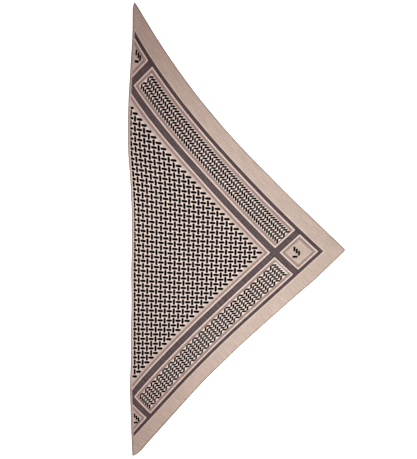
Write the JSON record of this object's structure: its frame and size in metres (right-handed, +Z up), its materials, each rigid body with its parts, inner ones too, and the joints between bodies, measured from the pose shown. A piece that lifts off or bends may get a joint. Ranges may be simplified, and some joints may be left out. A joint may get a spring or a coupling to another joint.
{
  "type": "triangle scarf",
  "caption": "Triangle scarf in fine figured knit, laid flat, with basket-figure field, herringbone bands, dark stripes and a plain border.",
  "frame": {"origin": "the middle of the laid outline, on the surface the scarf lies on", "axes": "+Z up out of the cloth's face, +Y along the long edge towards the tip shown at the top of the picture, +X from the long edge towards the point opposite it"},
  "size_m": [0.8161, 1.7039, 0.007],
  "materials": {
    "figured_knit": "soft matt fine knit: beige ground and border, near-black dashes on cream, plum-grey stripes with taupe frames",
    "plain_band": "matt plain taupe knit, turned and stitched down",
    "rolled_hem": "matt taupe-brown rolled and overlocked edge"
  },
  "bodies": {
    "root": {"panel": "figured_knit", "long_edge_band": "plain_band", "upper_hem": "rolled_hem", "lower_hem": "rolled_hem"}
  },
  "joints": []
}
